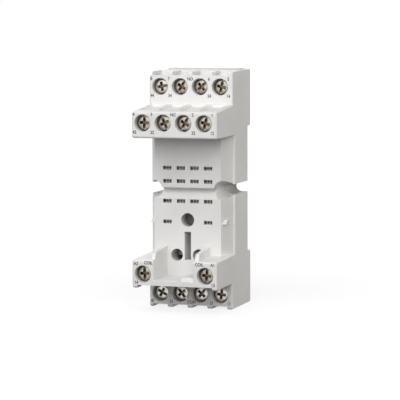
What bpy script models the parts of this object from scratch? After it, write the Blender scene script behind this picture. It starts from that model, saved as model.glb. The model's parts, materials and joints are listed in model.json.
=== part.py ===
"""Four-pole relay socket with screw terminals, for a 35 mm rail or a panel.

Metres, +Z up, front towards -Y. The origin is the middle of the face that the rail lies against.
Depths are measured forward from the back pads, heights upward from the bottom edge.
"""
import math
from collections import namedtuple

import bmesh
import bpy
from mathutils import Matrix, Vector

# Housing
HOUSING_WIDTH = 0.0270
HOUSING_HEIGHT = 0.0737
SIDE_EDGE_BEVEL = 0.00035
CORNER_RADIUS = 0.0006
TOP_CORNER_RADIUS = 0.0012
TERMINAL_WALL = 0.00115
SEAT_WALL = 0.0015
CAVITY_WALL = 0.00215

# Fits
CLEARANCE = 0.0003
OVERCUT = 0.0010
EMBED = 0.0005

# Rail
RAIL_WIDTH = 0.0350
RAIL_CENTRE_HEIGHT = 0.0362
RAIL_RECESS_HEIGHT = 0.0391
RAIL_RECESS_DEPTH = 0.0028
RAIL_GRIP = 0.0012

# Relay plate, its sloped sides and the locating lugs on them
LEDGE_DEPTH = 0.0165
LEDGE_WIDTH = 0.00275
LEDGE_SKIN = 0.0010
PLATE_DEPTH = 0.0220
PLATE_SKIN = 0.0014
LUG_DROP = 0.01045
LUG_THICKNESS = 0.0013
LUG_REACH = 0.0015
LUG_SETBACK = 0.0007
LUG_EDGE = 0.0004
LUG_SLOPE = 0.0014

# Terminal tiers
TOP_TIER_DEPTH = 0.0187
TOP_TIER_HEIGHT = 0.0106
TOP_LIP = 0.0018
STEP_TIER_SETBACK = 0.0001
STEP_TIER_HEIGHT = 0.0097
STEP_TIER_FALL = 0.0016
BOTTOM_TIER_DEPTH = 0.0192
BOTTOM_TIER_HEIGHT = 0.00875
BOTTOM_LIP = 0.0009
SCREW_INSET = 0.00345
COLUMN_SHIFT = -0.0003

# Coil blocks and the trough between them
COIL_TIER_DEPTH = 0.0348
COIL_BLOCK_HEIGHT = 0.00775
COIL_BLOCK_LEFT = 0.00685
COIL_BLOCK_RIGHT = 0.0075
COIL_TOP_RISE = 0.00055
COIL_SKIRT = 0.0009
COIL_WALL = 0.0009
TROUGH_FLOOR = 0.00155
TROUGH_PAD_LEFT = 0.0018
TROUGH_PAD_HEIGHT = 0.0011
TROUGH_PAD_SETBACK = 0.0007
RIB_THICKNESS = 0.0013
RIB_FRONT_RISE = 0.0021
RIB_BACK_RISE = 0.0034
RIB_SETBACK = 0.0012

# Wire entries
DIVIDER_THICKNESS = 0.0016
FUNNEL_REACH = 0.0084
CHANNEL_DEPTH = 0.0008

# Terminal screw, clamp plate and contact tab, stacked behind the tier face
HEAD_RECESS = 0.0018
HEAD_HEIGHT = 0.0018
HEAD_DIAMETER = 0.0046
HEAD_CHAMFER = 0.0005
SHANK_DIAMETER = 0.0029
SHANK_PROTRUSION = 0.0008
DRIVE_WIDTH = 0.0008
DRIVE_DEPTH = 0.0009
CROSS_LENGTH = 0.0027
CLAMP_THICKNESS = 0.0008
CLAMP_LIP = 0.0005
CLAMP_LIP_WIDTH = 0.0007
CLAMP_HEIGHT = 0.0044
CLAMP_TRAVEL = 0.0020
SCREW_TURN_STEP = 53
TAB_HEAD = 0.00235
TAB_FOOT = 0.00295

# Contact strip and fork
STRIP_THICKNESS = 0.0006
STRIP_WIDTH = 0.0020
JOG_CLEAR = 0.0022
FORK_WIDTH = 0.0022
FORK_HEIGHT = 0.0017
LEAF_THICKNESS = 0.00045
MODULE_ARM_HEIGHT = 0.0018
MODULE_ARM_THICKNESS = 0.0004

# Blade slots and holes of the relay plate
SLOT_PITCH = 0.0044
SLOT_WIDTH = 0.00266
SLOT_HEIGHT = 0.0011
NC_ROW_RISE = 0.00665
NO_ROW_RISE = 0.0026
COM_ROW_DROP = 0.00355
COIL_ROW_DROP = 0.00995
CENTRE_HOLE_DIAMETER = 0.0042
CENTRE_HOLE_DROP = 0.00925
MODULE_HOLE_DIAMETER = 0.0038
MODULE_HOLE_RISE = 0.0065
MODULE_HOLE_OFFSET = 0.0035
KEYWAY_WIDTH = 0.00205
KEYWAY_RISE = 0.00495
KEYWAY_GAP = 0.00165
BLIND_DEPTH = 0.0055

# Waist: panel screw notches with their head scoops, and the groove across the plate
WAIST_HEIGHT = 0.03695
PANEL_SCREW_INSET = 0.00215
NOTCH_WIDTH = 0.00325
WAIST_WALL = 0.002225
SCOOP_DIAMETER = 0.0060
SCOOP_FLOOR_DEPTH = 0.0135
GROOVE_RISE = 0.00055
GROOVE_HEIGHT = 0.0029
GROOVE_DEPTH = 0.0010
GROOVE_UNDERCUT = 0.0004

# Rear cover
COVER_FLOOR = 0.0028
COVER_RIB_THICKNESS = 0.0008
COVER_RIB_INSET = 0.0010
HOOK_WIDTH = 0.0120
HOOK_THICKNESS = 0.00115
HOOK_RECESS = 0.0001
HOOK_WINDOW_RISE = 0.0006

# Rail latch and its spring
LATCH_WIDTH = 0.0090
LATCH_FLANGE_WIDTH = 0.0120
LATCH_FLANGE_THICKNESS = 0.0012
LATCH_CHANNEL_FLOOR = 0.0017
LATCH_RECESS = 0.00025
LATCH_INSET = 0.0008
LATCH_BAR = 0.0031
LATCH_HEAD = 0.0035
LATCH_NOSE_THICKNESS = 0.0009
LATCH_NOSE_RAMP = 0.0010
PRY_POCKET_WIDTH = 0.0050
PRY_POCKET_HEIGHT = 0.0012
PRY_POCKET_DEPTH = 0.0014
SPRING_DIAMETER = 0.0030
SPRING_WIRE = 0.0004
SPRING_TURNS = 4.5
SPRING_SIDE_GAP = 0.0004
POST_WIDTH = 0.0028
POST_HEIGHT = 0.0012

# Facets
WELL_SIDES = 20
HOLE_SIDES = 16
SCREW_SIDES = 16
ARC_STEPS = 3
SPRING_POINTS_PER_TURN = 9
SMOOTH_ANGLE = 40

# Heights and depths that follow from the sizes above
plate_width = HOUSING_WIDTH - 2 * LEDGE_WIDTH
trough_left = HOUSING_WIDTH / 2 - COIL_BLOCK_LEFT
trough_right = HOUSING_WIDTH / 2 - COIL_BLOCK_RIGHT
step_tier_depth = COIL_TIER_DEPTH - STEP_TIER_SETBACK
step_top_back = HOUSING_HEIGHT - TOP_TIER_HEIGHT
step_top_front = step_top_back - STEP_TIER_FALL
step_bottom = step_top_back - STEP_TIER_HEIGHT
coil_top = BOTTOM_TIER_HEIGHT + COIL_BLOCK_HEIGHT
trough_floor = BOTTOM_TIER_HEIGHT + TROUGH_FLOOR
nc_row = WAIST_HEIGHT + NC_ROW_RISE
no_row = WAIST_HEIGHT + NO_ROW_RISE
com_row = WAIST_HEIGHT - COM_ROW_DROP
coil_row = WAIST_HEIGHT - COIL_ROW_DROP
groove_top = WAIST_HEIGHT + GROOVE_RISE
lug_height = WAIST_HEIGHT - LUG_DROP
centre_hole_height = WAIST_HEIGHT - CENTRE_HOLE_DROP
keyway_top = centre_hole_height - CENTRE_HOLE_DIAMETER / 2 - KEYWAY_GAP
keyway_bottom = trough_floor + KEYWAY_RISE
module_hole_height = trough_floor + MODULE_HOLE_RISE
recess_bottom = RAIL_CENTRE_HEIGHT - RAIL_RECESS_HEIGHT / 2
recess_top = RAIL_CENTRE_HEIGHT + RAIL_RECESS_HEIGHT / 2
cover_depth = RAIL_RECESS_DEPTH + COVER_FLOOR
seat_depth = cover_depth + CLEARANCE
fork_reach = FORK_HEIGHT / 2 + CLEARANCE
fork_tip_depth = PLATE_DEPTH - PLATE_SKIN - CLEARANCE
front_strip_depth = LEDGE_DEPTH - LEDGE_SKIN - CLEARANCE
panel_screw_x = HOUSING_WIDTH / 2 - PANEL_SCREW_INSET
waist_half = panel_screw_x - NOTCH_WIDTH / 2 - TERMINAL_WALL
waist_reach = NOTCH_WIDTH / 2 + WAIST_WALL
cavity_half = HOUSING_WIDTH / 2 - CAVITY_WALL
seat_half = HOUSING_WIDTH / 2 - SEAT_WALL
hook_bottom = RAIL_CENTRE_HEIGHT + RAIL_WIDTH / 2 - RAIL_GRIP
latch_back = cover_depth - LATCH_CHANNEL_FLOOR - CLEARANCE
latch_middle = (LATCH_RECESS + latch_back) / 2
latch_body_top = recess_bottom - CLEARANCE
latch_nose_top = RAIL_CENTRE_HEIGHT - RAIL_WIDTH / 2 + RAIL_GRIP
window_bottom = LATCH_INSET + LATCH_BAR
window_top = latch_body_top - LATCH_HEAD
post_bottom = window_bottom + POST_HEIGHT
post_top = post_bottom + POST_HEIGHT

# The terminal stack, as distances behind the tier face
clamp_front = HEAD_RECESS + HEAD_HEIGHT + CLEARANCE
clamp_back = clamp_front + CLAMP_THICKNESS
chamber_front = clamp_front - CLEARANCE
tab_front = clamp_back + CLAMP_LIP + CLAMP_TRAVEL + CLEARANCE
tab_back = tab_front + STRIP_THICKNESS
shank_tip = tab_back + SHANK_PROTRUSION
screw_bore = SHANK_DIAMETER + 2 * CLEARANCE

terminal_pitch = (HOUSING_WIDTH - TERMINAL_WALL) / 4
column_steps = [-1.5, -0.5, 0.5, 1.5]
tier_columns = [COLUMN_SHIFT + step * terminal_pitch for step in column_steps]
slot_columns = [step * SLOT_PITCH for step in column_steps]
coil_columns = [-(trough_left + HOUSING_WIDTH / 2) / 2, (trough_right + HOUSING_WIDTH / 2) / 2]
coil_block_width = min(COIL_BLOCK_LEFT, COIL_BLOCK_RIGHT)

# entry is 1 where wires come from above and -1 where they come from below
Tier = namedtuple("Tier", "label depth axis entry row strip columns slots chamber")
top_tier = Tier("no", TOP_TIER_DEPTH, HOUSING_HEIGHT - TOP_LIP - SCREW_INSET, 1, no_row,
                TOP_TIER_DEPTH - tab_front, tier_columns, slot_columns,
                terminal_pitch - TERMINAL_WALL)
step_tier = Tier("nc", step_tier_depth, step_top_front - SCREW_INSET, 1, nc_row,
                 front_strip_depth, tier_columns, slot_columns, terminal_pitch - TERMINAL_WALL)
bottom_tier = Tier("com", BOTTOM_TIER_DEPTH, BOTTOM_LIP + SCREW_INSET, -1, com_row,
                   BOTTOM_TIER_DEPTH - tab_front, tier_columns, slot_columns,
                   terminal_pitch - TERMINAL_WALL)
coil_tier = Tier("coil", COIL_TIER_DEPTH, BOTTOM_TIER_HEIGHT + SCREW_INSET, -1, coil_row,
                 front_strip_depth, coil_columns, [slot_columns[0], slot_columns[-1]],
                 coil_block_width - 2 * COIL_WALL)
tiers = [top_tier, step_tier, bottom_tier, coil_tier]


def y_at(depth):
    return RAIL_RECESS_DEPTH - depth


def z_at(height):
    return height - RAIL_CENTRE_HEIGHT


def extrude_outline(bm, corners, shift):
    """Close the corners into a face and extrude it by the shift."""
    face = bm.faces.new([bm.verts.new(corner) for corner in corners])
    grown = bmesh.ops.extrude_face_region(bm, geom=[face])["geom"]
    moved = [item for item in grown if isinstance(item, bmesh.types.BMVert)]
    bmesh.ops.translate(bm, verts=moved, vec=shift)


def side_prism(bm, outline, left, right):
    """Prism across the width with an outline of (depth, height) corners."""
    corners = [(left, y_at(depth), z_at(height)) for depth, height in outline]
    extrude_outline(bm, corners, (right - left, 0, 0))


def front_prism(bm, outline, back, front):
    """Prism along the depth with an outline of (x, height) corners."""
    corners = [(x, y_at(back), z_at(height)) for x, height in outline]
    extrude_outline(bm, corners, (0, back - front, 0))


def upright_prism(bm, outline, bottom, top):
    """Prism along the height with an outline of (x, depth) corners."""
    corners = [(x, y_at(depth), z_at(bottom)) for x, depth in outline]
    extrude_outline(bm, corners, (0, 0, top - bottom))


def box(bm, left, right, back, front, bottom, top):
    side_prism(bm, [(back, bottom), (front, bottom), (front, top), (back, top)], left, right)


def round_bar(bm, x, height, diameter, back, front, sides):
    """Round bar along the depth."""
    centre = Matrix.Translation((x, y_at((back + front) / 2), z_at(height)))
    along_depth = Matrix.Rotation(math.radians(90), 4, "X")
    bmesh.ops.create_cone(bm, cap_ends=True, segments=sides, radius1=diameter / 2,
                          radius2=diameter / 2, depth=front - back, matrix=centre @ along_depth)


def rounded(corners):
    """Outline of (depth, height, radius) corners with each radius turned into an arc."""
    outline = []
    for index, (depth, height, radius) in enumerate(corners):
        here = Vector((depth, height))
        if radius == 0:
            outline.append((depth, height))
            continue
        before = (Vector(corners[index - 1][:2]) - here).normalized()
        after = (Vector(corners[(index + 1) % len(corners)][:2]) - here).normalized()
        half_angle = before.angle(after) / 2
        centre = here + (before + after).normalized() * (radius / math.sin(half_angle))
        first = here + before * (radius / math.tan(half_angle)) - centre
        last = here + after * (radius / math.tan(half_angle)) - centre
        start = math.atan2(first.y, first.x)
        sweep = math.remainder(math.atan2(last.y, last.x) - start, math.tau)
        for step in range(ARC_STEPS + 1):
            angle = start + sweep * step / ARC_STEPS
            outline.append((centre.x + radius * math.cos(angle), centre.y + radius * math.sin(angle)))
    return outline


def make_material(name, colour, roughness, metallic):
    material = bpy.data.materials.new(name)
    material.use_nodes = True
    shader = material.node_tree.nodes["Principled BSDF"]
    shader.inputs["Base Color"].default_value = (*colour, 1)
    shader.inputs["Roughness"].default_value = roughness
    shader.inputs["Metallic"].default_value = metallic
    return material


def place_object(name, data, parent=None):
    placed = bpy.data.objects.new(name, data)
    bpy.context.scene.collection.objects.link(placed)
    placed.parent = parent
    return placed


def make_mesh(name, bm, material=None):
    bmesh.ops.recalc_face_normals(bm, faces=bm.faces)
    mesh = bpy.data.meshes.new(name)
    bm.to_mesh(mesh)
    bm.free()
    if material:
        mesh.materials.append(material)
    return mesh


def make_tool(name, bm, parent=None):
    """Body that only cuts or extends another piece."""
    tool = place_object(name, make_mesh(name, bm), parent)
    tool.hide_render = True
    tool.display_type = "WIRE"
    return tool


def combine(target, tool, operation):
    step = target.modifiers.new(tool.name, "BOOLEAN")
    step.object = tool
    step.operation = operation
    step.solver = "EXACT"


def move_origin(piece, point):
    """Put the origin of a piece on a point and leave its shape in place."""
    piece.data.transform(Matrix.Translation(-Vector(point)))
    piece.location = point


def smooth_round_faces(mesh):
    mesh.shade_smooth()
    mesh.set_sharp_from_angle(angle=math.radians(SMOOTH_ANGLE))


# Housing: one side profile across the full width, with the relay plate, ribs and lugs added
def make_housing_body(material):
    skirt_bottom = BOTTOM_TIER_HEIGHT - COIL_SKIRT
    profile = rounded([
        (0, 0, CORNER_RADIUS),
        (BOTTOM_TIER_DEPTH, 0, CORNER_RADIUS),
        (BOTTOM_TIER_DEPTH, skirt_bottom, 0),
        (COIL_TIER_DEPTH, skirt_bottom, CORNER_RADIUS),
        (COIL_TIER_DEPTH, coil_top, CORNER_RADIUS),
        (LEDGE_DEPTH, coil_top + COIL_TOP_RISE, 0),
        (LEDGE_DEPTH, step_bottom, 0),
        (step_tier_depth, step_bottom, CORNER_RADIUS),
        (step_tier_depth, step_top_front, CORNER_RADIUS),
        (TOP_TIER_DEPTH, step_top_back, 0),
        (TOP_TIER_DEPTH, HOUSING_HEIGHT, TOP_CORNER_RADIUS),
        (0, HOUSING_HEIGHT, CORNER_RADIUS),
        (0, recess_top, 0),
        (RAIL_RECESS_DEPTH, recess_top, 0),
        (RAIL_RECESS_DEPTH, recess_bottom, 0),
        (0, recess_bottom, 0),
    ])
    bm = bmesh.new()
    side_prism(bm, profile, -HOUSING_WIDTH / 2, HOUSING_WIDTH / 2)
    bmesh.ops.recalc_face_normals(bm, faces=bm.faces)
    sides = [face for face in bm.faces if abs(face.normal.x) > abs(face.normal.y) + abs(face.normal.z)]
    rims = {edge for face in sides for edge in face.edges}
    bmesh.ops.bevel(bm, geom=list(rims), offset=SIDE_EDGE_BEVEL, offset_type="OFFSET", segments=1,
                    profile=0.5, affect="EDGES", material=-1)
    return place_object("housing", make_mesh("housing", bm, material))


def make_relay_plate():
    """Plate that carries the relay, with sides that slope back to the housing's edges."""
    bm = bmesh.new()
    foot = HOUSING_WIDTH / 2 - SIDE_EDGE_BEVEL
    right = [(foot, LEDGE_DEPTH - OVERCUT), (foot, LEDGE_DEPTH - EMBED), (plate_width / 2, PLATE_DEPTH)]
    outline = right + [(-x, depth) for x, depth in reversed(right)]
    upright_prism(bm, outline, trough_floor - OVERCUT, step_bottom + OVERCUT)
    return make_tool("relay_plate", bm)


def make_ribs_and_lugs():
    """Ribs on the inner edges of the coil blocks, the pad in the trough and the plate's side lugs."""
    bm = bmesh.new()
    rib_front = COIL_TIER_DEPTH - RIB_SETBACK
    rib_outline = [
        (PLATE_DEPTH - OVERCUT, coil_top - OVERCUT),
        (rib_front, coil_top - OVERCUT),
        (rib_front - RIB_SETBACK, coil_top + RIB_FRONT_RISE),
        (PLATE_DEPTH - OVERCUT, coil_top + RIB_BACK_RISE),
    ]
    side_prism(bm, rib_outline, -trough_left - RIB_THICKNESS, -trough_left)
    side_prism(bm, rib_outline, trough_right, trough_right + RIB_THICKNESS)
    pad_front = COIL_TIER_DEPTH - TROUGH_PAD_SETBACK
    pad_outline = [
        (PLATE_DEPTH - OVERCUT, trough_floor - EMBED),
        (pad_front, trough_floor - EMBED),
        (pad_front, trough_floor),
        (pad_front - TROUGH_PAD_HEIGHT, trough_floor + TROUGH_PAD_HEIGHT),
        (PLATE_DEPTH - OVERCUT, trough_floor + TROUGH_PAD_HEIGHT),
    ]
    side_prism(bm, pad_outline, TROUGH_PAD_LEFT, trough_right + EMBED)
    lug_front = PLATE_DEPTH - LUG_SETBACK
    lug_outline = [
        (LEDGE_DEPTH - OVERCUT, lug_height),
        (lug_front, lug_height),
        (lug_front, lug_height + LUG_EDGE),
        (lug_front - LUG_SLOPE, lug_height + LUG_THICKNESS),
        (LEDGE_DEPTH - OVERCUT, lug_height + LUG_THICKNESS),
    ]
    for side in (-1, 1):
        inner = side * (plate_width / 2 - OVERCUT)
        outer = side * (plate_width / 2 + LUG_REACH)
        side_prism(bm, lug_outline, inner, outer)
    return make_tool("ribs_and_lugs", bm)


def make_trough():
    """The trough between the coil blocks and the step under their front skirts."""
    bm = bmesh.new()
    box(bm, -trough_left, trough_right, PLATE_DEPTH, COIL_TIER_DEPTH + OVERCUT,
        trough_floor, coil_top + COIL_TOP_RISE + OVERCUT)
    skirt_half = HOUSING_WIDTH / 2 - DIVIDER_THICKNESS
    box(bm, -skirt_half, skirt_half, BOTTOM_TIER_DEPTH + CLEARANCE, COIL_TIER_DEPTH + OVERCUT,
        BOTTOM_TIER_HEIGHT - COIL_SKIRT - OVERCUT, BOTTOM_TIER_HEIGHT)
    return make_tool("trough", bm)


def make_scoops():
    """Tapered recesses round the panel notches, widest at the plate."""
    bm = bmesh.new()
    floor_radius = NOTCH_WIDTH / 2 + CLEARANCE
    taper = (SCOOP_DIAMETER / 2 - floor_radius) / (PLATE_DEPTH - SCOOP_FLOOR_DEPTH)
    front = PLATE_DEPTH + OVERCUT
    for side in (-1, 1):
        centre = (side * panel_screw_x, y_at((SCOOP_FLOOR_DEPTH + front) / 2), z_at(WAIST_HEIGHT))
        towards_front = Matrix.Translation(centre) @ Matrix.Rotation(math.radians(90), 4, "X")
        bmesh.ops.create_cone(bm, cap_ends=True, segments=WELL_SIDES, radius1=floor_radius,
                              radius2=SCOOP_DIAMETER / 2 + taper * OVERCUT,
                              depth=front - SCOOP_FLOOR_DEPTH, matrix=towards_front)
    return make_tool("scoops", bm)


def make_notches():
    """Slots for the panel screws, round at the inner end and open at the sides."""
    bm = bmesh.new()
    radius = NOTCH_WIDTH / 2
    for side in (-1, 1):
        outline = [(side * (HOUSING_WIDTH / 2 + OVERCUT), WAIST_HEIGHT + radius)]
        for step in range(HOLE_SIDES // 2 + 1):
            angle = math.pi / 2 + math.pi * step / (HOLE_SIDES // 2)
            reach = panel_screw_x + radius * math.cos(angle)
            outline.append((side * reach, WAIST_HEIGHT + radius * math.sin(angle)))
        outline.append((side * (HOUSING_WIDTH / 2 + OVERCUT), WAIST_HEIGHT - radius))
        front_prism(bm, outline, -OVERCUT, PLATE_DEPTH + OVERCUT)
    return make_tool("notches", bm)


def make_groove():
    """Groove across the plate, steep at its upper edge and running out softly below."""
    bm = bmesh.new()
    outline = [
        (PLATE_DEPTH + OVERCUT, groove_top),
        (PLATE_DEPTH, groove_top),
        (PLATE_DEPTH - GROOVE_DEPTH, groove_top - GROOVE_UNDERCUT),
        (PLATE_DEPTH - GROOVE_DEPTH / 2, groove_top - GROOVE_HEIGHT / 2),
        (PLATE_DEPTH, groove_top - GROOVE_HEIGHT),
        (PLATE_DEPTH + OVERCUT, groove_top - GROOVE_HEIGHT),
    ]
    side_prism(bm, outline, -plate_width / 2 - OVERCUT, plate_width / 2 + OVERCUT)
    return make_tool("groove", bm)


def make_wells():
    """Round wells for the screw heads, and room behind the outer tabs for the screw tips."""
    bm = bmesh.new()
    for tier in tiers:
        for x in tier.columns:
            round_bar(bm, x, tier.axis, HEAD_DIAMETER + 2 * CLEARANCE,
                      tier.depth - chamber_front - CLEARANCE, tier.depth + OVERCUT, WELL_SIDES)
            if tier in (top_tier, bottom_tier):
                round_bar(bm, x, tier.axis, screw_bore,
                          tier.depth - shank_tip - CLAMP_TRAVEL - CLEARANCE, tier.depth - tab_back,
                          WELL_SIDES)
    return make_tool("wells", bm)


def make_chambers():
    """Boxes behind the wells for clamp and tab, open towards the cavity behind them."""
    bm = bmesh.new()
    cavity_fronts = {1: top_tier.strip + CLEARANCE, -1: bottom_tier.strip + CLEARANCE}
    for tier in tiers:
        entry_side = tier.axis + tier.entry * (TAB_HEAD + CLEARANCE)
        strip_side = tier.axis - tier.entry * (TAB_FOOT + CLEARANCE)
        back = min(cavity_fronts[tier.entry] - OVERCUT, tier.depth - tab_back - 2 * CLEARANCE)
        for x in tier.columns:
            box(bm, x - tier.chamber / 2, x + tier.chamber / 2, back, tier.depth - chamber_front,
                min(entry_side, strip_side), max(entry_side, strip_side))
    return make_tool("chambers", bm)


def make_wire_entries():
    """Wire openings between the dividing walls, each with the hole that leads to its chamber."""
    bm = bmesh.new()
    slope = STEP_TIER_FALL / (step_tier_depth - TOP_TIER_DEPTH)
    for tier in tiers:
        hole_front = tier.depth - chamber_front
        hole_back = tier.depth - tab_front + CLEARANCE
        inner = tier.axis + tier.entry * TAB_HEAD / 2
        if tier is step_tier:
            channel_back = TOP_TIER_DEPTH + CLEARANCE
            above = step_top_back + OVERCUT
            floor_front = step_top_front + slope * (tier.depth - hole_back) - CHANNEL_DEPTH
            floor_back = step_top_front + slope * (tier.depth - channel_back) - CHANNEL_DEPTH
            outline = [(hole_front, inner), (hole_front, above), (channel_back, above),
                       (channel_back, floor_back), (hole_back, floor_front), (hole_back, inner)]
        elif tier is coil_tier:
            below = BOTTOM_TIER_HEIGHT - OVERCUT
            outline = [(hole_front, inner), (hole_front, below), (hole_back, below), (hole_back, inner)]
        else:
            edge = HOUSING_HEIGHT - TOP_LIP if tier is top_tier else BOTTOM_LIP
            beyond = HOUSING_HEIGHT + OVERCUT if tier is top_tier else -OVERCUT
            open_front = tier.depth + OVERCUT
            funnel_back = tier.depth - FUNNEL_REACH
            outline = [(open_front, edge), (hole_front, edge), (hole_front, inner), (hole_back, inner),
                       (hole_back, edge), (funnel_back, edge), (funnel_back, beyond),
                       (open_front, beyond)]
        half = (tier.chamber + TERMINAL_WALL - DIVIDER_THICKNESS) / 2
        for x in tier.columns:
            side_prism(bm, outline, x - half, x + half)
    return make_tool("wire_entries", bm)


def make_plate_openings():
    """Blade slots, the centre hole, the module holes and the keyway of the relay plate."""
    bm = bmesh.new()
    front = PLATE_DEPTH + OVERCUT
    for tier in tiers:
        for x in tier.slots:
            box(bm, x - SLOT_WIDTH / 2, x + SLOT_WIDTH / 2, PLATE_DEPTH - PLATE_SKIN - CLEARANCE,
                front, tier.row - SLOT_HEIGHT / 2, tier.row + SLOT_HEIGHT / 2)
    round_bar(bm, 0, centre_hole_height, CENTRE_HOLE_DIAMETER, PLATE_DEPTH - BLIND_DEPTH, front,
              WELL_SIDES)
    for side in (-1, 1):
        round_bar(bm, side * MODULE_HOLE_OFFSET, module_hole_height, MODULE_HOLE_DIAMETER,
                  front_strip_depth, front, WELL_SIDES)
    box(bm, -KEYWAY_WIDTH / 2, KEYWAY_WIDTH / 2, PLATE_DEPTH - BLIND_DEPTH, front,
        keyway_bottom, keyway_top)
    return make_tool("plate_openings", bm)


def waist_outline(half, waist, reach, bottom, top):
    """Front outline of the cover and its seat, drawn in at the waist round the panel notches."""
    low = WAIST_HEIGHT - reach
    high = WAIST_HEIGHT + reach
    right = [(half, bottom), (half, low), (waist, low), (waist, high), (half, high), (half, top)]
    return right + [(-x, height) for x, height in reversed(right)]


def make_cover_seat():
    bm = bmesh.new()
    outline = waist_outline(seat_half, waist_half, waist_reach, -OVERCUT, HOUSING_HEIGHT + OVERCUT)
    front_prism(bm, outline, -OVERCUT, seat_depth)
    return make_tool("cover_seat", bm)


def make_cavities():
    """Hollows behind the tiers for the contact strips, deeper where the front strips run."""
    bm = bmesh.new()
    start = seat_depth - OVERCUT
    deep = front_strip_depth + CLEARANCE
    high_front = top_tier.strip + CLEARANCE
    high_bottom = WAIST_HEIGHT + waist_reach + CLEARANCE
    high_top = top_tier.axis + TAB_HEAD
    step_low = nc_row - fork_reach - CLEARANCE
    step_high = step_tier.axis - TAB_FOOT + STRIP_THICKNESS + CLEARANCE
    side_prism(bm, [(start, high_bottom), (high_front, high_bottom), (high_front, step_low),
                    (deep, step_low), (deep, step_high), (high_front, step_high),
                    (high_front, high_top), (start, high_top)], -cavity_half, cavity_half)
    low_front = bottom_tier.strip + CLEARANCE
    low_bottom = bottom_tier.axis - TAB_HEAD
    low_top = WAIST_HEIGHT - waist_reach - CLEARANCE
    coil_low = coil_tier.axis + TAB_FOOT - STRIP_THICKNESS - CLEARANCE
    coil_high = coil_row + fork_reach + CLEARANCE
    side_prism(bm, [(start, low_bottom), (low_front, low_bottom), (low_front, coil_low),
                    (deep, coil_low), (deep, coil_high), (low_front, coil_high),
                    (low_front, low_top), (start, low_top)], -cavity_half, cavity_half)
    return make_tool("cavities", bm)


def make_fork_channels():
    bm = bmesh.new()
    tip = PLATE_DEPTH - PLATE_SKIN
    half = FORK_WIDTH / 2 + CLEARANCE
    for tier in tiers:
        near = tier.row - tier.entry * fork_reach
        far = tier.row + tier.entry * fork_reach
        strip_front = tier.strip + CLEARANCE
        outline = [(tier.strip - OVERCUT, near), (tip, near), (tip, far), (tier.strip - OVERCUT, far)]
        if tier in (top_tier, bottom_tier):
            rim = WAIST_HEIGHT + tier.entry * (waist_reach + CLEARANCE + OVERCUT)
            outline = [(seat_depth - OVERCUT, near), (tip, near), (tip, far), (strip_front, far),
                       (strip_front, rim), (seat_depth - OVERCUT, rim)]
        for x in tier.slots:
            side_prism(bm, outline, x - half, x + half)
    return make_tool("fork_channels", bm)


def make_housing(material):
    housing = make_housing_body(material)
    combine(housing, make_relay_plate(), "UNION")
    combine(housing, make_trough(), "DIFFERENCE")
    combine(housing, make_ribs_and_lugs(), "UNION")
    cuts = [make_groove(), make_scoops(), make_notches(), make_wells(), make_cover_seat(),
            make_cavities(), make_chambers(), make_wire_entries(), make_fork_channels(),
            make_plate_openings()]
    for cut in cuts:
        combine(housing, cut, "DIFFERENCE")


# Rear cover: closes the housing, carries the rail hook and guides the latch
def make_rear_cover(material):
    bm = bmesh.new()
    outline = waist_outline(seat_half - CLEARANCE, waist_half - CLEARANCE, waist_reach + CLEARANCE,
                            0, HOUSING_HEIGHT)
    front_prism(bm, outline, 0, cover_depth)
    cover = place_object("rear_cover", make_mesh("rear_cover", bm, material))

    bm = bmesh.new()
    box(bm, -HOUSING_WIDTH, HOUSING_WIDTH, -OVERCUT, RAIL_RECESS_DEPTH, recess_bottom, recess_top)
    combine(cover, make_tool("rail_recess", bm), "DIFFERENCE")

    bm = bmesh.new()
    hook_outline = [
        (HOOK_RECESS, recess_top + HOOK_WINDOW_RISE + OVERCUT),
        (HOOK_RECESS, hook_bottom + HOOK_THICKNESS / 2),
        (HOOK_RECESS + HOOK_THICKNESS / 2, hook_bottom),
        (HOOK_RECESS + HOOK_THICKNESS, hook_bottom),
        (HOOK_RECESS + HOOK_THICKNESS, recess_top + HOOK_WINDOW_RISE + OVERCUT),
    ]
    side_prism(bm, hook_outline, -HOOK_WIDTH / 2, HOOK_WIDTH / 2)
    combine(cover, make_tool("rail_hook", bm), "UNION")

    bm = bmesh.new()
    window_half = HOOK_WIDTH / 2 + CLEARANCE
    box(bm, -window_half, window_half, HOOK_RECESS + HOOK_THICKNESS + CLEARANCE, cover_depth + OVERCUT,
        hook_bottom - CLEARANCE, recess_top + HOOK_WINDOW_RISE)
    combine(cover, make_tool("hook_window", bm), "DIFFERENCE")

    bm = bmesh.new()
    body_half = LATCH_WIDTH / 2 + CLEARANCE
    flange_half = LATCH_FLANGE_WIDTH / 2 + CLEARANCE
    lip = latch_back - LATCH_FLANGE_THICKNESS - CLEARANCE
    floor = latch_back + CLEARANCE
    right = [(body_half, -OVERCUT), (body_half, lip), (flange_half, lip), (flange_half, floor)]
    channel = right + [(-x, depth) for x, depth in reversed(right)]
    upright_prism(bm, channel, -OVERCUT, latch_body_top + CLEARANCE)
    combine(cover, make_tool("latch_channel", bm), "DIFFERENCE")

    bm = bmesh.new()
    box(bm, -body_half, body_half, -OVERCUT, latch_back, latch_body_top - OVERCUT,
        latch_nose_top + CLEARANCE)
    combine(cover, make_tool("nose_channel", bm), "DIFFERENCE")

    bm = bmesh.new()
    box(bm, -POST_WIDTH / 2, POST_WIDTH / 2, LATCH_RECESS + CLEARANCE, floor + EMBED,
        post_bottom, post_top)
    for tier, low, high in ((top_tier, WAIST_HEIGHT + waist_reach, hook_bottom),
                            (bottom_tier, BOTTOM_TIER_HEIGHT, WAIST_HEIGHT - waist_reach)):
        strip_back = tier.strip - STRIP_THICKNESS
        for column in (-1, 0, 1):
            x = column * terminal_pitch
            box(bm, x - COVER_RIB_THICKNESS / 2, x + COVER_RIB_THICKNESS / 2,
                cover_depth - EMBED, strip_back - CLEARANCE,
                low + COVER_RIB_INSET, high - COVER_RIB_INSET)
    combine(cover, make_tool("ribs_and_post", bm), "UNION")


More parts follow.
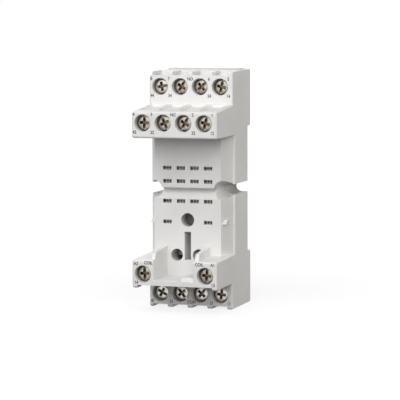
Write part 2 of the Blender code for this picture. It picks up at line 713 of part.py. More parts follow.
# Rail latch: a T-shaped slide with a hooked nose, a spring window and a pocket to pry it by
def make_rail_latch(material):
    bm = bmesh.new()
    flange_front = latch_back - LATCH_FLANGE_THICKNESS
    right = [(LATCH_WIDTH / 2, LATCH_RECESS), (LATCH_WIDTH / 2, flange_front),
             (LATCH_FLANGE_WIDTH / 2, flange_front), (LATCH_FLANGE_WIDTH / 2, latch_back)]
    upright_prism(bm, right + [(-x, depth) for x, depth in reversed(right)], LATCH_INSET, latch_body_top)
    latch = place_object("rail_latch", make_mesh("rail_latch", bm, material))

    bm = bmesh.new()
    nose_back = LATCH_RECESS + HOOK_RECESS
    nose_front = nose_back + LATCH_NOSE_THICKNESS
    nose = [(nose_back, latch_body_top - OVERCUT), (nose_front, latch_body_top - OVERCUT),
            (nose_front, latch_nose_top), (nose_front - LATCH_NOSE_THICKNESS / 2, latch_nose_top),
            (nose_back, latch_nose_top - LATCH_NOSE_RAMP)]
    side_prism(bm, nose, CLEARANCE - LATCH_WIDTH / 2, LATCH_WIDTH / 2 - CLEARANCE)
    combine(latch, make_tool("latch_nose", bm), "UNION")

    bm = bmesh.new()
    window_half = SPRING_DIAMETER / 2 + SPRING_SIDE_GAP
    box(bm, -window_half, window_half, -OVERCUT, latch_back + OVERCUT, window_bottom, window_top)
    pocket_bottom = LATCH_INSET + (LATCH_BAR - PRY_POCKET_HEIGHT) / 2
    box(bm, -PRY_POCKET_WIDTH / 2, PRY_POCKET_WIDTH / 2, -OVERCUT, LATCH_RECESS + PRY_POCKET_DEPTH,
        pocket_bottom, pocket_bottom + PRY_POCKET_HEIGHT)
    combine(latch, make_tool("latch_window", bm), "DIFFERENCE")
    slide_line = (0, y_at(latch_middle), z_at(LATCH_INSET))
    for tool in (step.object for step in latch.modifiers):
        move_origin(tool, slide_line)
    move_origin(latch, slide_line)


def make_latch_spring(material):
    """Compression spring on the post, one unbroken helix."""
    low = post_top + CLEARANCE + SPRING_WIRE / 2
    high = window_top - CLEARANCE - SPRING_WIRE / 2
    radius = (SPRING_DIAMETER - SPRING_WIRE) / 2
    count = round(SPRING_TURNS * SPRING_POINTS_PER_TURN)
    points = []
    for index in range(count + 1):
        share = index / count
        angle = math.tau * SPRING_TURNS * share
        points.append(Vector((radius * math.cos(angle), radius * math.sin(angle), (high - low) * share)))
    curve = bpy.data.curves.new("latch_spring", "CURVE")
    curve.dimensions = "3D"
    curve.bevel_depth = SPRING_WIRE / 2
    curve.bevel_resolution = 1
    curve.use_fill_caps = True
    curve.materials.append(material)
    spline = curve.splines.new("POLY")
    spline.points.add(count)
    for spot, point in zip(spline.points, points):
        spot.co = (*point, 1)
    spring = place_object("latch_spring", curve)
    spring.location = (0, y_at(latch_middle), z_at(low))
    half_turn = SPRING_POINTS_PER_TURN // 2
    gap = min((points[a] - points[b]).length for a in range(count + 1)
              for b in range(a + half_turn, count + 1)) - SPRING_WIRE
    print(f"latch_spring: least gap between turns {gap * 1000:.2f} mm")


# Terminals: each has an empty on its screw axis at the tier face, +Y pointing into the housing
def contact_stations(tier, x_shift):
    """Cross-sections of the strip from the fork to the end of the tab, in the terminal's own frame.

    Each is (x, width, front corner, back corner), a corner being (distance behind the face, height
    towards the wire entry).
    """
    strip_front = tier.depth - tier.strip
    strip_back = strip_front + STRIP_THICKNESS
    fork_top = tier.entry * (tier.row - tier.axis) + FORK_HEIGHT / 2
    jog_start = fork_top + JOG_CLEAR
    tab_width = tier.chamber - 2 * CLEARANCE
    foot = -TAB_FOOT
    jog_end = foot - JOG_CLEAR
    stations = [(x_shift, STRIP_WIDTH, (strip_front, jog_start), (strip_back, jog_start)),
                (0, STRIP_WIDTH, (strip_front, jog_end), (strip_back, jog_end))]
    inner_foot = foot + STRIP_THICKNESS
    if strip_front > tab_front:
        stations += [(0, STRIP_WIDTH, (strip_front, foot), (strip_back, inner_foot)),
                     (0, STRIP_WIDTH, (tab_front + tab_back, foot), (tab_front + tab_back, inner_foot)),
                     (0, tab_width, (tab_front, foot), (tab_back, inner_foot))]
    else:
        stations += [(0, STRIP_WIDTH, (tab_front, foot), (tab_back, foot)),
                     (0, tab_width, (tab_front, inner_foot), (tab_back, inner_foot))]
    stations.append((0, tab_width, (tab_front, TAB_HEAD), (tab_back, TAB_HEAD)))
    return stations


def make_contact(name, tier, x_shift, parent, bore, material):
    """Two-leaf fork behind the blade slot, strip through the housing and drilled tab, all one piece."""
    bm = bmesh.new()
    strip_front = tier.depth - tier.strip
    strip_back = strip_front + STRIP_THICKNESS
    tip = tier.depth - fork_tip_depth
    row = tier.entry * (tier.row - tier.axis)
    outer = FORK_HEIGHT / 2
    inner = outer - LEAF_THICKNESS
    fork = [(strip_back, row + outer), (strip_back, row - outer), (tip, row - outer), (tip, row - inner),
            (strip_front, row - inner), (strip_front, row + inner), (tip, row + inner),
            (tip, row + outer), (strip_front, row + outer)]

    def ring(x, width, corners):
        left = [bm.verts.new((x - width / 2, s, tier.entry * u)) for s, u in corners]
        right = [bm.verts.new((x + width / 2, s, tier.entry * u)) for s, u in corners]
        return left, right

    left, right = ring(x_shift, FORK_WIDTH, fork)
    bm.faces.new(left)
    bm.faces.new(right)
    for a, b in zip(range(len(fork) - 1), range(1, len(fork))):
        bm.faces.new((left[a], left[b], right[b], right[a]))
    end = [left[-1], right[-1], right[0], left[0]]
    for x, width, front, back in contact_stations(tier, x_shift):
        (left_front, left_back), (right_front, right_back) = ring(x, width, (front, back))
        section = [left_front, right_front, right_back, left_back]
        for a in range(4):
            b = (a + 1) % 4
            bm.faces.new((end[a], end[b], section[b], section[a]))
        end = section
    bm.faces.new(end)
    contact = place_object(name, make_mesh(name, bm, material), parent)
    if tier is coil_tier:
        combine(contact, make_module_arm(name, tier, x_shift, parent), "UNION")
    combine(contact, bore, "DIFFERENCE")


def make_module_arm(name, tier, x_shift, parent):
    """Arm of a coil contact that reaches behind the module hole on its side."""
    bm = bmesh.new()
    side = math.copysign(1, parent.location.x)
    front = tier.depth - tier.strip + (STRIP_THICKNESS - MODULE_ARM_THICKNESS) / 2
    middle = tier.entry * (module_hole_height - tier.axis)
    low = middle - MODULE_ARM_HEIGHT / 2
    high = middle + MODULE_ARM_HEIGHT / 2
    tip = side * (MODULE_HOLE_OFFSET - MODULE_HOLE_DIAMETER / 4) - parent.location.x
    corners = [(0, front, tier.entry * low), (tip, front, tier.entry * low),
               (tip, front, tier.entry * high), (0, front, tier.entry * high)]
    extrude_outline(bm, corners, (0, MODULE_ARM_THICKNESS, 0))
    return make_tool(f"{name}_arm", bm, parent)


def make_clamp(name, tier, parent, bore, material):
    """Clamp plate with two lips that keep the wire under it."""
    bm = bmesh.new()
    half = tier.chamber / 2 - CLEARANCE
    right = [(half, clamp_front), (half, clamp_back + CLAMP_LIP),
             (half - CLAMP_LIP_WIDTH, clamp_back + CLAMP_LIP), (half - CLAMP_LIP_WIDTH, clamp_back)]
    outline = right + [(-x, s) for x, s in reversed(right)]
    corners = [(x, s, -CLAMP_HEIGHT / 2) for x, s in outline]
    extrude_outline(bm, corners, (0, 0, CLAMP_HEIGHT))
    clamp = place_object(name, make_mesh(name, bm, material), parent)
    combine(clamp, bore, "DIFFERENCE")


def make_screw_mesh(material):
    """Pan-head screw along +Y with a straight slot and a shorter cross slot."""
    bm = bmesh.new()
    head = HEAD_DIAMETER / 2
    shank = SHANK_DIAMETER / 2
    head_back = HEAD_RECESS + HEAD_HEIGHT
    profile = [(0, HEAD_RECESS), (head - HEAD_CHAMFER, HEAD_RECESS), (head, HEAD_RECESS + HEAD_CHAMFER),
               (head, head_back), (shank, head_back), (shank, shank_tip), (0, shank_tip)]
    spots = [bm.verts.new((radius, s, 0)) for radius, s in profile]
    edges = [bm.edges.new(pair) for pair in zip(spots, spots[1:])]
    bmesh.ops.spin(bm, geom=spots + edges, cent=(0, 0, 0), axis=(0, 1, 0), angle=math.tau,
                   steps=SCREW_SIDES, use_merge=True)
    bmesh.ops.remove_doubles(bm, verts=bm.verts, dist=CLEARANCE / 100)
    blank = place_object("screw_blank", make_mesh("screw_blank", bm, material))
    blank.hide_render = True
    blank.display_type = "WIRE"

    bm = bmesh.new()
    half = DRIVE_WIDTH / 2
    slot = head + OVERCUT
    cross = CROSS_LENGTH / 2
    quarter = [(slot, half), (half, half), (half, cross)]
    plus = quarter + [(-x, z) for x, z in reversed(quarter)]
    plus += [(-x, -z) for x, z in quarter] + [(x, -z) for x, z in reversed(quarter)]
    corners = [(x, HEAD_RECESS - OVERCUT, z) for x, z in plus]
    extrude_outline(bm, corners, (0, DRIVE_DEPTH + OVERCUT, 0))
    combine(blank, make_tool("screw_drive", bm), "DIFFERENCE")
    bpy.context.view_layer.update()
    shaped = blank.evaluated_get(bpy.context.evaluated_depsgraph_get())
    mesh = bpy.data.meshes.new_from_object(shaped)
    mesh.name = "terminal_screw"
    smooth_round_faces(mesh)
    return mesh


def make_terminals(materials):
    screw_mesh = make_screw_mesh(materials["screw"])
    placed = 0
    for tier in tiers:
        for number, (x, slot_x) in enumerate(zip(tier.columns, tier.slots), start=1):
            tag = f"{tier.label}_{number}"
            axis = place_object(f"terminal_{tag}", None)
            axis.location = (x, y_at(tier.depth), z_at(tier.axis))
            bm = bmesh.new()
            along_depth = Matrix.Rotation(math.radians(90), 4, "X")
            bmesh.ops.create_cone(bm, cap_ends=True, segments=HOLE_SIDES, radius1=screw_bore / 2,
                                  radius2=screw_bore / 2, depth=2 * shank_tip, matrix=along_depth)
            bore = make_tool(f"bore_{tag}", bm, axis)
            make_contact(f"contact_{tag}", tier, slot_x - x, axis, bore, materials["contact"])
            make_clamp(f"clamp_{tag}", tier, axis, bore, materials["clamp"])
            screw = place_object(f"screw_{tag}", screw_mesh, axis)
            screw.rotation_euler.y = math.radians(SCREW_TURN_STEP * placed)
            placed += 1


def main():
    for leftover in list(bpy.data.objects):
        bpy.data.objects.remove(leftover)
    materials = {
        "housing": make_material("light_grey_moulding", (0.63, 0.63, 0.60), 0.45, 0),
        "cover": make_material("grey_moulding", (0.52, 0.53, 0.51), 0.50, 0),
        "latch": make_material("dark_moulding", (0.05, 0.05, 0.055), 0.45, 0),
        "spring": make_material("spring_steel", (0.55, 0.55, 0.56), 0.30, 1),
        "contact": make_material("tinned_brass", (0.72, 0.66, 0.50), 0.35, 1),
        "clamp": make_material("zinc_plated_steel", (0.62, 0.61, 0.58), 0.35, 1),
        "screw": make_material("nickel_plated_steel", (0.66, 0.63, 0.57), 0.28, 1),
    }
    make_housing(materials["housing"])
    make_rear_cover(materials["cover"])
    make_rail_latch(materials["latch"])
    make_latch_spring(materials["spring"])
    make_terminals(materials)


main()
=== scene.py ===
import json
import math

import bmesh
import bpy
from mathutils import Matrix, Vector
from mathutils.bvhtree import BVHTree


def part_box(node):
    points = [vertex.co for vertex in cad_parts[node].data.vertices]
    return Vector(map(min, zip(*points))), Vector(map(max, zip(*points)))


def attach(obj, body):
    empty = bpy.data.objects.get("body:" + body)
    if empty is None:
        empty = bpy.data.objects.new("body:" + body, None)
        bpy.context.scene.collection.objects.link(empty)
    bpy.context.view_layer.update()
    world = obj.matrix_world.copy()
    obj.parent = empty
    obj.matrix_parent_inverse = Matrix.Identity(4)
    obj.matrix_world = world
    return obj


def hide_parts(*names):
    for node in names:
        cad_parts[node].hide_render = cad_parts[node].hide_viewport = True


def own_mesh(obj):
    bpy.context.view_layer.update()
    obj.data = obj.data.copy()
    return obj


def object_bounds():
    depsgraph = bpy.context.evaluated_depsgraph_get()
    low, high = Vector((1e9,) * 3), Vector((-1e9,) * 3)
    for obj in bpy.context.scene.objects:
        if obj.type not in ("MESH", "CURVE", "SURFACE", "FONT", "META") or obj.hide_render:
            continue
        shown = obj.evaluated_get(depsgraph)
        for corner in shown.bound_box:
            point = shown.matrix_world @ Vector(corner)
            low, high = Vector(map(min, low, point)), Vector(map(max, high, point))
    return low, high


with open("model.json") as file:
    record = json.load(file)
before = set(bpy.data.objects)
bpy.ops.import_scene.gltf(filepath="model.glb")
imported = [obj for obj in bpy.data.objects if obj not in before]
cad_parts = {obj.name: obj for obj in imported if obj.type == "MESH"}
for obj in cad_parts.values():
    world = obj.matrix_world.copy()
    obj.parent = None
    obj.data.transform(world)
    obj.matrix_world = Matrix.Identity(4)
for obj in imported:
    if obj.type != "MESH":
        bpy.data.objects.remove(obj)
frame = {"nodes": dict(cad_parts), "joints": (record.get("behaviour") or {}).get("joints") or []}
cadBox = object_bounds()
nodes = frame["nodes"]
screwPlace = {joint["child"]: Vector(joint["pos_m"]) for joint in frame["joints"] if joint["type"] == "hinge"}
terminals = sorted(name[len("screw_"):] for name in screwPlace)
quarterTurn = math.pi / 2
print("frame loaded:", len(nodes), "nodes and", len(terminals), "terminals")


# small node helpers shared by the finishes
noiseSpread = (0.3, 0.7)  # most of a noise lies between these


def startMaterial(name):
    material = bpy.data.materials.new(name)
    material.use_nodes = True
    tree = material.node_tree
    place = tree.nodes.new("ShaderNodeTexCoord").outputs["Object"]
    return material, tree, tree.nodes["Principled BSDF"], place


def addNoise(tree, vector, scale, detail):
    noise = tree.nodes.new("ShaderNodeTexNoise")
    noise.inputs["Scale"].default_value = scale  # per metre
    noise.inputs["Detail"].default_value = detail
    tree.links.new(vector, noise.inputs["Vector"])
    return noise.outputs["Fac"]


def addRange(tree, value, source=noiseSpread, target=(0, 1)):
    spread = tree.nodes.new("ShaderNodeMapRange")
    for socket, number in zip(("From Min", "From Max", "To Min", "To Max"), (*source, *target)):
        spread.inputs[socket].default_value = number
    tree.links.new(value, spread.inputs["Value"])
    return spread.outputs["Result"]


def addTint(tree, value, first, second):
    tint = tree.nodes.new("ShaderNodeMix")
    tint.data_type = "RGBA"
    tree.links.new(value, tint.inputs["Factor"])
    for socket, colour in zip(("A", "B"), (first, second)):
        target = next(item for item in tint.inputs if item.name == socket and item.type == "RGBA")
        if isinstance(colour, tuple):
            target.default_value = (*colour, 1)
        else:
            tree.links.new(colour, target)
    return next(item for item in tint.outputs if item.type == "RGBA")


def addBump(tree, height, strength, depth, before=None):
    bump = tree.nodes.new("ShaderNodeBump")
    bump.inputs["Strength"].default_value = strength
    bump.inputs["Distance"].default_value = depth
    tree.links.new(height, bump.inputs["Height"])
    if before:
        tree.links.new(before, bump.inputs["Normal"])
    return bump.outputs["Normal"]


def addMath(tree, operation, *values):
    node = tree.nodes.new("ShaderNodeMath")
    node.operation = operation
    for value, socket in zip(values, node.inputs):
        tree.links.new(value, socket)
    return node.outputs["Value"]


def addLength(tree, vector):
    length = tree.nodes.new("ShaderNodeVectorMath")
    length.operation = "LENGTH"
    tree.links.new(vector, length.inputs[0])
    return length.outputs["Value"]


def readAttribute(tree, name):
    attribute = tree.nodes.new("ShaderNodeAttribute")
    attribute.attribute_name = name
    return attribute.outputs


def stretched(tree, vector, scale):
    mapping = tree.nodes.new("ShaderNodeMapping")
    mapping.inputs["Scale"].default_value = scale
    tree.links.new(vector, mapping.inputs["Vector"])
    return mapping.outputs["Vector"]


# moulded plastics: slow colour drift, fine eroded grain and faint flow waves; on the housing also painted
# shade inside its wells, slots and holes
plasticSettings = {
    # the housing's dark pocket colour is painted shade for the insides of its wells, slots and holes
    "housing": {"darker": (0.715, 0.713, 0.706), "lighter": (0.775, 0.773, 0.766), "rough": (0.36, 0.50),
                "pocket": (0.07, 0.066, 0.06)},
    "cover": {"darker": (0.50, 0.51, 0.50), "lighter": (0.57, 0.58, 0.565), "rough": (0.40, 0.55)},
    "latch": {"darker": (0.022, 0.022, 0.024), "lighter": (0.035, 0.035, 0.038), "rough": (0.32, 0.48)},
    "drift": 90, "driftDetail": 3,
    "flow": 260, "flowDetail": 2, "flowStretch": (1, 1, 0.35), "flowStrength": 0.05, "flowDepth": 0.0001,
    "grain": 5200, "grainDetail": 2, "grainStrength": 0.22, "grainDepth": 0.00003,
    "gloss": 0.42,
}


def mouldedPlastic(name):
    own = plasticSettings[name]
    every = plasticSettings
    material, tree, shader, place = startMaterial(name + "Plastic")
    drift = addRange(tree, addNoise(tree, place, every["drift"], every["driftDetail"]))
    grain = addNoise(tree, place, every["grain"], every["grainDetail"])
    flow = addNoise(tree, stretched(tree, place, every["flowStretch"]), every["flow"], every["flowDetail"])
    colour = addTint(tree, drift, own["darker"], own["lighter"])
    # painted shade: the colour turns towards the dark pocket colour deep inside wells, slots and holes
    if "pocket" in own:
        colour = addTint(tree, readAttribute(tree, "pocket")["Fac"], colour, own["pocket"])
    tree.links.new(colour, shader.inputs["Base Color"])
    tree.links.new(addRange(tree, grain, noiseSpread, own["rough"]), shader.inputs["Roughness"])
    waves = addBump(tree, flow, every["flowStrength"], every["flowDepth"])
    normal = addBump(tree, grain, every["grainStrength"], every["grainDepth"], waves)
    tree.links.new(normal, shader.inputs["Normal"])
    shader.inputs["Specular IOR Level"].default_value = every["gloss"]
    return material


# plated and tinned metals: patchy plating, rolling or drawing lines along the strip
metalSettings = {
    "clamp": {"first": (0.60, 0.59, 0.56), "second": (0.72, 0.71, 0.67), "rough": (0.24, 0.42),
              "lines": (1, 1, 0.06)},
    "contact": {"first": (0.40, 0.38, 0.33), "second": (0.52, 0.505, 0.46), "rough": (0.22, 0.38),
                "lines": (1, 1, 0.05)},
    "spring": {"first": (0.50, 0.50, 0.51), "second": (0.66, 0.66, 0.67), "rough": (0.18, 0.32),
               "lines": (1, 1, 0.3)},
    "patches": 700, "patchDetail": 4, "patchSpread": (0.32, 0.68),
    "fine": 9000, "fineDetail": 3, "lineStrength": 0.18, "lineDepth": 0.000012,
}


def platedMetal(name):
    own = metalSettings[name]
    every = metalSettings
    material, tree, shader, place = startMaterial(name + "Metal")
    patches = addNoise(tree, place, every["patches"], every["patchDetail"])
    patches = addRange(tree, patches, every["patchSpread"])
    lines = addNoise(tree, stretched(tree, place, own["lines"]), every["fine"], every["fineDetail"])
    tree.links.new(addTint(tree, patches, own["first"], own["second"]), shader.inputs["Base Color"])
    tree.links.new(addRange(tree, lines, noiseSpread, own["rough"]), shader.inputs["Roughness"])
    tree.links.new(addBump(tree, lines, every["lineStrength"], every["lineDepth"]), shader.inputs["Normal"])
    shader.inputs["Metallic"].default_value = 1
    return material


# nickel-plated screws: turning rings on the head, painted shade deep in the drive and painted sheen that
# lightens some heads
screwFinish = {
    # the light colour is painted sheen for heads that catch more reflection
    "bright": (0.385, 0.362, 0.318), "worn": (0.285, 0.263, 0.222), "paintedSheen": (0.70, 0.685, 0.65),
    # dark brown for painted shade deep in the drive
    "paintedDriveShade": (0.13, 0.10, 0.075), "driveShadeDepth": (0.00195, 0.0024), "driveShadeRadius": (0.0018, 0.00162),
    "rough": (0.30, 0.46), "patches": 900, "patchDetail": 4, "acrossHead": (1, 0, 1),
    "ringSpan": (0, 0.001), "ringAngle": (0, 42), "ringStrength": 0.12, "ringDepth": 0.00001,
}


def screwMetal():
    own = screwFinish
    material, tree, shader, place = startMaterial("screwMetal")
    local = readAttribute(tree, "screwPlace")["Vector"]
    split = tree.nodes.new("ShaderNodeSeparateXYZ")
    tree.links.new(local, split.inputs["Vector"])
    radius = addLength(tree, stretched(tree, local, own["acrossHead"]))
    rings = addMath(tree, "SINE", addRange(tree, radius, own["ringSpan"], own["ringAngle"]))
    patches = addRange(tree, addNoise(tree, place, own["patches"], own["patchDetail"]))
    platingAndSheen = addTint(tree, patches, own["worn"], own["bright"])
    # painted sheen: listed heads turn lighter, as if catching more reflection
    platingAndSheen = addTint(tree, readAttribute(tree, "paintedSheen")["Fac"], platingAndSheen, own["paintedSheen"])
    # painted shade: darker brown deeper in the drive and near its middle
    deep = addRange(tree, split.outputs["Y"], own["driveShadeDepth"])
    inner = addRange(tree, radius, own["driveShadeRadius"])
    paintedDriveShade = addMath(tree, "MULTIPLY", deep, inner)
    tree.links.new(addTint(tree, paintedDriveShade, platingAndSheen, own["paintedDriveShade"]), shader.inputs["Base Color"])
    tree.links.new(addRange(tree, patches, (0, 1), own["rough"]), shader.inputs["Roughness"])
    tree.links.new(addBump(tree, rings, own["ringStrength"], own["ringDepth"]), shader.inputs["Normal"])
    shader.inputs["Metallic"].default_value = 1
    return material


# pad-printed marks, slightly uneven ink
inkSettings = {
    "thin": (0.08, 0.08, 0.085), "full": (0.04, 0.04, 0.045), "rough": (0.45, 0.65),
    "speckle": 6000, "speckleDetail": 3,
}


def printInk():
    own = inkSettings
    material, tree, shader, place = startMaterial("printInk")
    speckle = addNoise(tree, place, own["speckle"], own["speckleDetail"])
    colour = addTint(tree, addRange(tree, speckle), own["thin"], own["full"])
    tree.links.new(colour, shader.inputs["Base Color"])
    tree.links.new(addRange(tree, speckle, noiseSpread, own["rough"]), shader.inputs["Roughness"])
    return material


finishes = {name: mouldedPlastic(name) for name in ("housing", "cover", "latch")}
finishes.update({name: platedMetal(name) for name in ("clamp", "contact", "spring")})
finishes["screw"] = screwMetal()
finishes["ink"] = printInk()
print("finishes made:", ", ".join(finishes))


# mesh helpers, lengths in metres and angles in degrees
copySettings = {
    "merge": 0.000002, "finest": 0.0000005,
    "flatAngle": 0.6, "curve": 21, "largest": 0.000003,  # bends between the two angles belong to a curve
    "normalSteps": 47, "sameNormal": 0.9995, "probe": 0.00002,
    "smoothAngle": 38,
}


def cleanCopy(node):
    bm = bmesh.new()
    bm.from_mesh(nodes[node].data)
    bmesh.ops.remove_doubles(bm, verts=bm.verts, dist=copySettings["merge"])
    bmesh.ops.recalc_face_normals(bm, faces=bm.faces)
    dissolveFlats(bm)
    return bm


def dissolveFlats(bm):
    limit = math.radians(copySettings["flatAngle"])
    bmesh.ops.dissolve_limit(bm, angle_limit=limit, verts=bm.verts, edges=bm.edges)


def toMesh(bm, name):
    mesh = bpy.data.meshes.new(name)
    bm.to_mesh(mesh)
    bm.free()
    return mesh


def looseObject(bm, name):
    loose = bpy.data.objects.new(name, toMesh(bm, name))
    bpy.context.scene.collection.objects.link(loose)
    return loose


def combined(bm, tools, operation, tidy=True):
    # runs one exact boolean per tool and hands back a fresh bmesh
    body = looseObject(bm, "work")
    parts = [looseObject(tool, "tool") for tool in tools]
    for part in parts:
        step = body.modifiers.new("step", "BOOLEAN")
        step.object = part
        step.operation = operation
        step.solver = "EXACT"
    bpy.context.view_layer.update()
    shaped = body.evaluated_get(bpy.context.evaluated_depsgraph_get())
    mesh = bpy.data.meshes.new_from_object(shaped)
    made = bmesh.new()
    made.from_mesh(mesh)
    bpy.data.meshes.remove(mesh)
    for item in [body, *parts]:
        bpy.data.meshes.remove(item.data)
    bmesh.ops.remove_doubles(made, verts=made.verts, dist=copySettings["merge"])
    bmesh.ops.recalc_face_normals(made, faces=made.faces)
    if tidy:
        dissolveFlats(made)
    return made


def cutFlat(bm, faceY, cuts):
    # straight cuts through the holes keep a front face simple, so that its rims round cleanly
    near = copySettings["merge"]

    def onFace():
        return {face for face in bm.faces if all(abs(corner.co.y - faceY) < near for corner in face.verts)}

    for axis, place, low, high in cuts:
        flats = {face for face in onFace()
                 if all(low - near < corner.co.z < high + near for corner in face.verts)}
        edges = {edge for face in flats for edge in face.edges}
        corners = {corner for edge in edges for corner in edge.verts}
        normal = Vector((axis == 0, 0, axis == 2))
        bmesh.ops.bisect_plane(bm, geom=[*flats, *edges, *corners], dist=copySettings["finest"],
                               plane_co=normal * place, plane_no=normal)
    flats = onFace()
    stray = {edge for face in flats for edge in face.edges if set(edge.link_faces) <= flats and not any(
        all(abs(corner.co[axis] - place) < near for corner in edge.verts) for axis, place, low, high in cuts)}
    bmesh.ops.dissolve_edges(bm, edges=list(stray), use_verts=False, use_face_split=False)


def normalKey(normal):
    return tuple(round(part * copySettings["normalSteps"]) for part in normal)


def flatPlanes(bm):
    # planes of the faces that don't belong to a curve
    planes = {}
    for face in bm.faces:
        bends = [edge for edge in face.edges
                 if copySettings["flatAngle"] < math.degrees(edge.calc_face_angle(0)) < copySettings["curve"]]
        if not bends or face.calc_area() > copySettings["largest"]:
            normal = face.normal.copy()
            planes.setdefault(normalKey(normal), []).append((normal, normal.dot(face.verts[0].co)))
    return planes


def shadeFlats(bm, planes):
    # flat faces stay flat, curves and rounded edges are smooth
    for face in bm.faces:
        corner = face.verts[0].co
        known = planes.get(normalKey(face.normal), [])
        face.smooth = not any(normal.dot(face.normal) > copySettings["sameNormal"]
                              and abs(normal.dot(corner) - level) < copySettings["probe"]
                              for normal, level in known)


def roundEdges(bm, offset, segments, sharpAngle, shortest, seenOnly=False, flats=(), crisp=()):
    planes = flatPlanes(bm)
    tree = BVHTree.FromBMesh(bm)
    picked = bm.edges.layers.int.new("picked")
    for edge in bm.edges:
        if len(edge.link_faces) != 2 or edge.calc_face_angle_signed(0) < math.radians(sharpAngle):
            continue
        if any((corner.co.xz - Vector((x, z))).length < reach
               for corner in edge.verts for x, z, reach in crisp):
            continue
        if min(near.calc_length() for corner in edge.verts for near in corner.link_edges) < shortest:
            continue
        if seenOnly:
            outward = (edge.link_faces[0].normal + edge.link_faces[1].normal).normalized()
            middle = (edge.verts[0].co + edge.verts[1].co) / 2
            if tree.ray_cast(middle + outward * copySettings["probe"], outward)[0] is not None:
                continue
        edge[picked] = 1
    for faceY, cuts in flats:
        cutFlat(bm, faceY, cuts)
    chosen = [edge for edge in bm.edges if edge[picked]]
    bmesh.ops.bevel(bm, geom=chosen, offset=offset, offset_type="OFFSET", segments=segments, profile=0.5,
                    affect="EDGES", clamp_overlap=False, loop_slide=True, material=-1)
    bm.edges.layers.int.remove(picked)
    bm.normal_update()
    shadeFlats(bm, planes)
    return len(chosen)


def addPiece(name, mesh, finish, body, standsFor=None):
    mesh.materials.clear()
    mesh.materials.append(finishes[finish])
    if "custom_normal" in mesh.attributes:  # left over from the import, no longer true after the cuts
        mesh.attributes.remove(mesh.attributes["custom_normal"])
    curved = [face.use_smooth for face in mesh.polygons]  # the next line would make every face smooth
    mesh.set_sharp_from_angle(angle=math.radians(copySettings["smoothAngle"]))
    mesh.polygons.foreach_set("use_smooth", curved)
    piece = bpy.data.objects.new(name, mesh)
    bpy.context.scene.collection.objects.link(piece)
    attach(piece, body)
    if standsFor:
        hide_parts(standsFor)
    return piece


barTurns = {"X": Matrix.Rotation(quarterTurn, 4, "Y"), "Y": Matrix.Rotation(quarterTurn, 4, "X")}


def barAlong(axis, place, radius, length, sides, endRadius=None):
    # round bar centred on a point, along X or Y, tapered if it has an end radius
    bm = bmesh.new()
    bmesh.ops.create_cone(bm, cap_ends=True, segments=sides, radius1=radius, radius2=endRadius or radius,
                          depth=length, matrix=Matrix.Translation(place) @ barTurns[axis])
    return bm


def addShell(bm, other):
    mesh = toMesh(other, "shell")
    bm.from_mesh(mesh)
    bpy.data.meshes.remove(mesh)


def blockAt(low, high):
    bm = bmesh.new()
    size = Vector(high) - Vector(low)
    centre = (Vector(high) + Vector(low)) / 2
    bmesh.ops.create_cube(bm, size=1, matrix=Matrix.Translation(centre) @ Matrix.Diagonal((*size, 1)))
    return bm


def prismAlong(outline, left, right):
    # bar along X with an outline of (y, z) corners
    bm = bmesh.new()
    face = bm.faces.new([bm.verts.new((left, y, z)) for y, z in outline])
    side = bmesh.ops.extrude_face_region(bm, geom=[face])["geom"]
    moved = [item for item in side if isinstance(item, bmesh.types.BMVert)]
    bmesh.ops.translate(bm, vec=(right - left, 0, 0), verts=moved)
    bmesh.ops.recalc_face_normals(bm, faces=bm.faces)
    return bm


# blade slots in the relay plate, also the places of the contact forks behind them
slotSettings = {
    "rows": {"nc": 0.0074, "no": 0.00335, "com": -0.0028, "coil": -0.0092},  # height of each row
    "columns": (-0.0066, -0.0022, 0.0022, 0.0066), "coilColumns": (-0.0066, 0.0066),
}


def slotColumns(row):
    return slotSettings["coilColumns"] if row == "coil" else slotSettings["columns"]


# housing: the moulding with fine round wells and holes and soft edges
housingSettings = {
    "wellRadius": 0.002616, "wellDepth": 0.00392, "outside": 0.0008, "sides": 60,
    "plateFace": -0.0192, "plateSplit": -0.0115, "anyHeight": (-1, 1), "faceDigits": 6,
    "centreHole": (0.0, -0.0085, 0.002113, 0.00552),  # x, z, radius, depth from the plate
    "moduleHoles": ((-0.0035, -0.0194, 0.001913, 0.00682), (0.0035, -0.0194, 0.001913, 0.00682)),
    "scoops": ((-0.01135, 0.00075), (0.01135, 0.00075)),  # x, z, tapered and widest at the plate
    "scoopFloor": -0.01072, "scoopRadius": 0.003014, "scoopFloorRadius": 0.001939,
    "crispReach": 0.0036,  # edges this near to a scoop aren't rounded
    # outlines of (y, z) corners: waist groove, top that falls to the front, lower left end of the top tier
    "groove": ((-0.0198, 0.0014), (-0.0192, 0.0014), (-0.0168, 0.0012),
               (-0.0168, 0.0005), (-0.0192, -0.0019), (-0.0198, -0.0025)),
    "top": ((-0.0168, 0.03682), (-0.0168, 0.039), (0.0034, 0.039), (0.0034, 0.03735)),
    "leftEnd": ((-0.0168, 0.03565), (-0.0168, 0.0385), (0.0034, 0.0385), (0.0034, 0.03735)),
    "across": 0.014, "leftWall": -0.0125,
    # painted shade inside the hollows: depth at which it is darkest, and how dark
    "slotHalf": (0.00135, 0.00057), "slotDark": (0.0005, 0.9),
    "keyway": (0.0, -0.0166, 0.00105, 0.0045), "keywayDark": (0.0001, 0.12),  # x, z, half width, half height
    "wellDark": (0.0014, 0.6), "holeDark": (0.0030, 0.75),
    "notchFace": -0.0108, "notchDark": (0.0004, 0.95),
    "edges": {"offset": 0.00014, "segments": 3, "sharpAngle": 35, "shortest": 0.00030},
}


def plateCuts():
    # axis, place, lowest and highest z: one cut above the module holes, then one through each column of holes
    own = housingSettings
    lowest, highest = own["anyHeight"]
    split = own["plateSplit"]
    middle = own["centreHole"][0]
    cuts = [(2, split, lowest, highest)]
    for x in sorted((*slotSettings["columns"], middle)):
        cuts.append((0, x, lowest if x == middle else split, highest))
    for x, z, radius, depth in own["moduleHoles"]:
        cuts.append((0, x, lowest, split))
    return cuts


